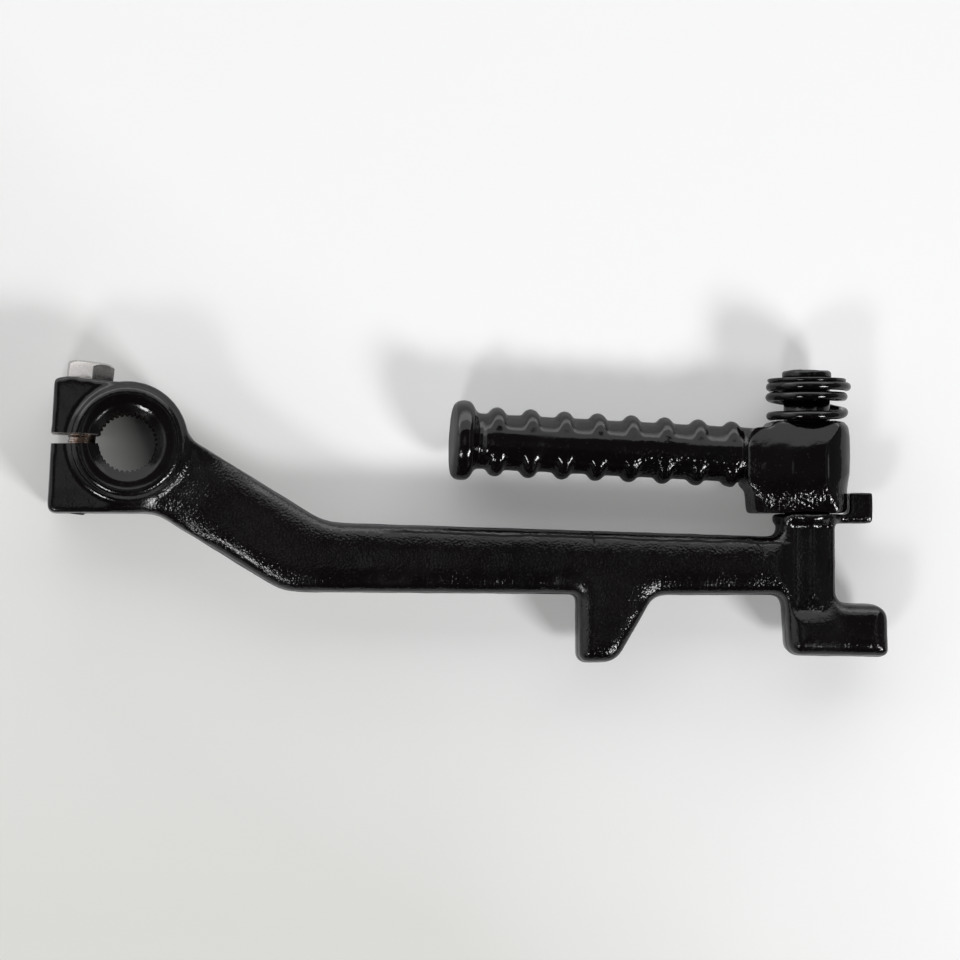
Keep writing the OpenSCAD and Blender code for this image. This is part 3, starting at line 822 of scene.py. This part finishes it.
def run_out_ribs(obj, foot, along):
    """Lets the peg's ribs run out into its core towards the two broad faces, as scallops do."""
    mesh = obj.data
    away = coordinates(mesh) - np.array(foot)
    reach = away @ np.array(along)
    radial = away - reach[:, None] * np.array(along)
    radius = np.maximum(np.linalg.norm(radial, axis=1), 1e-9)
    aside = np.sqrt(np.clip(1 - (radial[:, 2] / radius) ** 2, 0, 1))
    core = np.interp(reach, [FIRST_RIB, PEG_LEN], [PEG_ROOT_R, PEG_END_R])
    share = smoothstep(0.3, 0.85, aside)
    ribbed = smoothstep(FIRST_RIB - 3.1 * MM, FIRST_RIB - 1.5 * MM, reach)
    ribbed *= smoothstep(PEG_LEN - FLANGE_W - 0.2 * MM, PEG_LEN - FLANGE_W - 2 * MM, reach)
    level = core + share * (radius - core) + (1 - share) * 0.5 * RIB_HEIGHT
    level = radius + ribbed * (level - radius)
    co = np.array(foot) + reach[:, None] * np.array(along) + radial * (level / radius)[:, None]
    set_coordinates(mesh, co)


def shape_cheeks(obj):
    """Sets the hub's round side back behind its cheeks, which leaves an edge down the hub, slopes
    the cheeks down to the peg at the neck and draws the hub's heel in below the peg."""
    mesh = obj.data
    co = coordinates(mesh)
    reach = co[:, 0] - PIVOT_X
    height = np.abs(co[:, 2])
    side = smoothstep(2.9 * MM, 3.5 * MM, reach)
    barrel = 0.93 * np.sqrt(np.clip((9.9 * MM) ** 2 - reach ** 2, (1 * MM) ** 2, None))
    height -= side * np.clip(height - barrel, 0, None)
    slope = 0.7 + 0.3 * np.clip((reach + 16.5 * MM) / (11.5 * MM), 0, 1)
    sloped = np.maximum(height * slope, np.minimum(height, 6.2 * MM))
    height = np.where(reach > -15.4 * MM, sloped, height)
    co[:, 2] = np.sign(co[:, 2]) * height
    heel = smoothstep(-11.5 * MM, -15.2 * MM, reach)
    below_peg = smoothstep(HUB_LOW + 6.8 * MM, HUB_LOW + 4.7 * MM, co[:, 1])
    co[:, 0] += 1.15 * MM * heel * below_peg
    set_coordinates(mesh, co)


def make_pedal():
    foot = Vector((PIVOT_X, PEG_Y, 0))
    toward_tip = Vector((-math.cos(PEG_SLOPE), math.sin(PEG_SLOPE), 0))
    peg = grow(
        "peg",
        peg_tree(),
        {"Root Radius": PEG_ROOT_R, "End Radius": PEG_END_R, "Rib Height": RIB_HEIGHT, "Pitch": 7.7 * MM,
         "First Rib": FIRST_RIB, "Count": 8, "Flange Radius": 9.1 * MM, "Flange Width": FLANGE_W,
         "Length": PEG_LEN, "Material": PEDAL_PAINT},
    )
    peg.data.transform(Matrix.Translation(foot) @ toward_tip.to_track_quat("Z", "Y").to_matrix().to_4x4())
    bm = node_copy("pedal")
    bm.from_mesh(peg.data)
    drop(peg)
    for face in bm.faces:
        face.material_index = 0
    pedal = object_from("pedal_casting", bm)
    pedal.data.materials.append(PEDAL_PAINT)
    cast_over(pedal, 0.4 * MM, 5)
    run_out_ribs(pedal, foot, toward_tip)
    shape_cheeks(pedal)
    roughen(pedal, 4 * MM, 0.08 * MM, 3.0)

    drill = bmesh.new()
    reach = HUB_TOP - HUB_LOW + 4 * MM
    r = PIN_R + 0.12 * MM
    lathe(drill, [(0, 0), (r, 0), (r, reach), (0, reach)], along_pivot(HUB_LOW - 2 * MM))
    hub_drill = object_from("hub_drill", drill)
    hub_drill.data.materials.append(BORE_STEEL)
    cut(pedal, hub_drill)
    finish_surface(pedal)
    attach(pedal, "folding_pedal")
    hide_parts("pedal")


# The pin, the washer and the spring


def make_pin():
    """Turned pin with a hammered head over the washer."""
    foot = PIN_LO.y
    top = PIN_HI.y - PIN_LO.y
    head = WASHER_HI.y - foot
    waist = WASHER_LO.y - foot
    spigot_top = HUB_LOW - foot - 0.15 * MM
    r = PIN_R
    wide = (PIN_HI.x - PIN_LO.x) / 2 - 0.05 * MM
    chamfer = 0.2 * MM
    profile = [
        (0, 0), (3.4 * MM, 0), (3.98 * MM, 0.6 * MM), (3.98 * MM, spigot_top), (r - chamfer, spigot_top),
        (r, spigot_top + chamfer), (r, waist - chamfer), (r - chamfer, waist), (r - 1.5 * MM, waist),
        (r - 1.5 * MM, head), (wide - 0.5 * MM, head), (wide - 0.15 * MM, head + 0.15 * MM),
        (wide, head + 0.5 * MM),
    ]
    for k in range(1, 7):
        a = math.pi / 2 * k / 6
        profile.append((wide - 1.1 * MM * (1 - math.cos(a)), top - 0.95 * MM + 0.8 * MM * math.sin(a)))
    profile += [(2.6 * MM, top - 0.03 * MM), (1.2 * MM, top - 0.05 * MM), (0, top - 0.05 * MM)]
    bm = bmesh.new()
    lathe(bm, profile, along_pivot(foot), 128)
    pin = object_from("pivot_pin_turned", bm)
    co = coordinates(pin.data)
    beaten = smoothstep(WASHER_HI.y + 0.3 * MM, WASHER_HI.y + 1.2 * MM, co[:, 1])
    for k in np.nonzero(beaten > 0)[0]:
        spot = Vector(co[k]) / (2.4 * MM)
        co[k, 1] += min(0.22 * MM * noise.noise(spot) - 0.1 * MM, 0) * beaten[k]
        co[k, 0] += 0.12 * MM * noise.noise(spot + Vector((9, 3, 1))) * beaten[k]
        co[k, 2] += 0.12 * MM * noise.noise(spot + Vector((2, 8, 5))) * beaten[k]
    set_coordinates(pin.data, co)
    pin.data.materials.append(TURNED_PAINT)
    finish_surface(pin, 50)
    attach(pin, "lever")
    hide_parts("pivot_pin")


def make_washer():
    outer = (WASHER_HI.x - WASHER_LO.x) / 2
    thick = WASHER_HI.y - WASHER_LO.y
    hole = PIN_R - 1.4 * MM
    edge = 0.25 * MM
    bm = bmesh.new()
    loop = [(hole, edge), (hole + edge, 0), (outer - edge, 0), (outer - 0.07 * MM, 0.07 * MM), (outer, edge),
            (outer, thick - edge), (outer - 0.07 * MM, thick - 0.07 * MM), (outer - edge, thick),
            (hole + edge, thick), (hole, thick - edge), (hole, edge)]
    lathe(bm, loop, along_pivot(WASHER_LO.y), 96)
    bmesh.ops.remove_doubles(bm, verts=bm.verts, dist=1e-7)
    washer = object_from("retaining_washer_pressed", bm)
    washer.data.materials.append(TURNED_PAINT)
    finish_surface(washer, 50)
    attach(washer, "lever")
    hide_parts("retaining_washer")


def make_spring():
    outer = (SPRING_HI.z - SPRING_LO.z) / 2
    spring = grow(
        "pedal_spring_coil",
        coil_tree(),
        {"Centre X": PIVOT_X, "Radius": outer - WIRE_R, "Wire Radius": WIRE_R, "Turns": COIL_TURNS,
         "Low": SPRING_LO.y + WIRE_R, "High": WASHER_LO.y - WIRE_R, "Material": WIRE_PAINT},
    )
    finish_surface(spring, 60)
    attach(spring, "lever")
    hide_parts("pedal_spring")


# The pinch bolt


def make_bolt():
    """The bolt's own solid with softened edges, and its thread as a wound ridge."""
    bolt = object_from("pinch_bolt_plated", node_copy("pinch_bolt"))
    bolt.data.materials.append(ZINC)
    soft = bolt.modifiers.new("soft", "BEVEL")
    soft.width = 0.16 * MM
    soft.segments = 3
    soft.limit_method = "ANGLE"
    soft.angle_limit = math.radians(22)
    bake(bolt)
    thread = grow(
        "thread",
        thread_tree(),
        {"Radius": 2.72 * MM, "Ridge": 0.36 * MM, "Pitch": 1 * MM, "Low": -16.6 * MM, "High": 3 * MM,
         "Material": ZINC},
    )
    thread.data.transform(along_bolt())
    bm = bmesh.new()
    bm.from_mesh(bolt.data)
    bm.from_mesh(thread.data)
    bm.to_mesh(bolt.data)
    bm.free()
    drop(thread)
    finish_surface(bolt, 40)
    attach(bolt, "lever")
    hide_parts("pinch_bolt")


# Floor, light and camera


def make_floor():
    """Pale paper with painted light and shade in its colour: lighter to the right and top, with a painted shadow
    to the lower left. Glossy rays see it in a fixed grey, a painted dim reflection, and it glows faintly for the
    camera, with painted light and shade where the bore shows it.
    """
    bm = bmesh.new()
    box(bm, (-3, -3, ARM_LO.z - 0.02), (3, 3, ARM_LO.z - 0.0001))
    floor = object_from("floor", bm)
    material, tree, shader = new_material("pale_floor")
    spot = put(tree, "ShaderNodeTexCoord").outputs["Object"]
    x, y = axes_of(tree, spot)[:2]
    # Painted light and shade in the paper's colour: lighter towards the right and top, darker to the left and
    # bottom, and a painted shadow darkening the lower left more.
    side = calc(tree, "MULTIPLY_ADD", y, 1.3, x)
    cloud = calc(tree, "MULTIPLY_ADD", noise_of(tree, spot, 12.0, 3.0), 0.06, side)
    pale = ramp_of(tree, cloud, -0.05, 0.12)
    painted_low_shadow = calc(tree, "MULTIPLY", ramp_of(tree, y, -50 * MM, -110 * MM), ramp_of(tree, x, 150 * MM, 70 * MM))
    painted_floor_shade = calc(tree, "SUBTRACT", pale, calc(tree, "MULTIPLY", painted_low_shadow, 0.35))
    paper = blend_colours(tree, painted_floor_shade, (0.69, 0.69, 0.672), (0.90, 0.90, 0.905))
    ray = put(tree, "ShaderNodeLightPath").outputs
    # Glossy rays see the floor in a fixed grey, darker than the open paper: a painted dim reflection that stands
    # in for the shaded floor near the part.
    painted_dim_reflection = blend_colours(tree, ray["Is Glossy Ray"], paper, (0.7, 0.7, 0.7))
    tree.links.new(painted_dim_reflection, shader.inputs["Base Color"])
    shader.inputs["Roughness"].default_value = 0.6
    shader.inputs["Emission Color"].default_value = (1, 1, 0.97, 1)
    from_bore = put(tree, "ShaderNodeVectorMath", {0: spot}, operation="LENGTH").outputs["Value"]
    under_boss = ramp_of(tree, from_bore, 15 * MM, 13 * MM)
    # Where the bore shows the floor, the even glow gives way to painted light and shade: a lighter crescent
    # towards the lower left of the bore and painted shade towards its right.
    painted_bore_light = ramp_of(tree, calc(tree, "MULTIPLY_ADD", y, 0.45, x), 5 * MM, -8.5 * MM, 0.0, 0.15)
    open_floor = calc(tree, "MULTIPLY", calc(tree, "SUBTRACT", 1.0, under_boss), 0.14)
    glow_with_painted_bore_light = calc(tree, "MULTIPLY_ADD", under_boss, painted_bore_light, open_floor)
    tree.links.new(calc(tree, "MULTIPLY", ray["Is Camera Ray"], glow_with_painted_bore_light), shader.inputs["Emission Strength"])
    floor.data.materials.append(material)


def add_lamp(name, place, target, width, height, radiance):
    """A soft rectangular lamp whose face shows the radiance given."""
    data = bpy.data.lights.new(name, "AREA")
    data.shape = "RECTANGLE"
    data.size = width
    data.size_y = height
    data.energy = radiance * math.pi * width * height
    lamp = bpy.data.objects.new(name, data)
    lamp.location = place
    lamp.rotation_mode = "QUATERNION"
    lamp.rotation_quaternion = (Vector(target) - Vector(place)).to_track_quat("-Z", "Y")
    bpy.context.scene.collection.objects.link(lamp)


def light_scene():
    """A dim wall beyond the top of the picture, paler low down, two lamps below the picture and a
    dark ceiling that is paler above the boss and far to the left."""
    middle = Vector((0.08, -0.01, 0))
    away = math.radians(55)
    wall = Vector((-0.6, 1.9 * math.sin(away), 1.9 * math.cos(away)))
    add_lamp("wall", middle + wall, middle + Vector((-0.6, 0, 0)), 4.4, 1.77, 1.05)
    low = math.radians(75)
    low_wall = Vector((-0.6, 1.88 * math.sin(low), 1.88 * math.cos(low)))
    add_lamp("low_wall", middle + low_wall, middle + Vector((-0.6, 0, 0)), 5.2, 1.0, 1.5)
    add_lamp("lamp_left", (-0.5, -0.95, 1.0), middle, 0.30, 0.26, 20)
    add_lamp("lamp_right", (0.95, -0.95, 1.0), middle, 0.42, 0.36, 28)
    world = bpy.data.worlds.new("room")
    bpy.context.scene.world = world
    world.use_nodes = True
    tree = world.node_tree
    back = tree.nodes["Background"]
    ray = put(tree, "ShaderNodeTexCoord").outputs["Generated"]
    across, along, up = axes_of(tree, ray)
    room = [(0, 0.85), (0.12, 0.82), (0.17, 0.5), (0.22, 0.15), (0.27, 0.07), (0.5, 0.06), (0.7, 0.05),
            (0.73, 0.5), (0.75, 0.5), (0.78, 0.06), (0.95, 0.12), (1, 0.14)]
    dim = curve_of(tree, ramp_of(tree, across, -1.0, 1.0), room)
    far_side = ramp_of(tree, along, -0.35, -0.15, 0.35, 1.0)
    sideways = {"X": calc(tree, "ADD", across, 0.06), "Y": calc(tree, "MULTIPLY", along, 0.8)}
    aside = put(tree, "ShaderNodeCombineXYZ", sideways).outputs[0]
    off = put(tree, "ShaderNodeVectorMath", {0: aside}, operation="LENGTH").outputs["Value"]
    patch = ramp_of(tree, off, 0.15, 0.08, 0.0, 0.42)
    overhead = calc(tree, "MULTIPLY", patch, calc(tree, "GREATER_THAN", up, 0.0))
    tree.links.new(calc(tree, "MULTIPLY_ADD", dim, far_side, overhead), back.inputs["Strength"])
    back.inputs["Color"].default_value = (0.97, 0.97, 1.0, 1)


CAMERA_AT = Vector((-0.002, -0.025, 0.8))
CAMERA_AIM = Vector((0.0797, -0.0081, 0))
FOCAL_PIXELS = 3543
FRAME_PIXELS = 960
SENSOR_WIDTH = 36


def place_camera():
    data = bpy.data.cameras.new("camera")
    data.sensor_width = SENSOR_WIDTH
    data.lens = SENSOR_WIDTH * FOCAL_PIXELS / FRAME_PIXELS
    data.clip_start = 0.01
    data.clip_end = 20
    camera = bpy.data.objects.new("camera", data)
    camera.location = CAMERA_AT
    camera.rotation_mode = "QUATERNION"
    away = (CAMERA_AT - CAMERA_AIM).normalized()
    right = Vector((0, 1, 0)).cross(away).normalized()
    up = away.cross(right)
    camera.rotation_quaternion = Matrix((right, up, away)).transposed().to_quaternion()
    bpy.context.scene.collection.objects.link(camera)
    bpy.context.scene.camera = camera


place_camera()
make_lever_arm()
make_pedal()
make_pin()
make_washer()
make_spring()
make_bolt()
make_floor()
light_scene()
bpy.context.scene.view_settings.view_transform = "Standard"
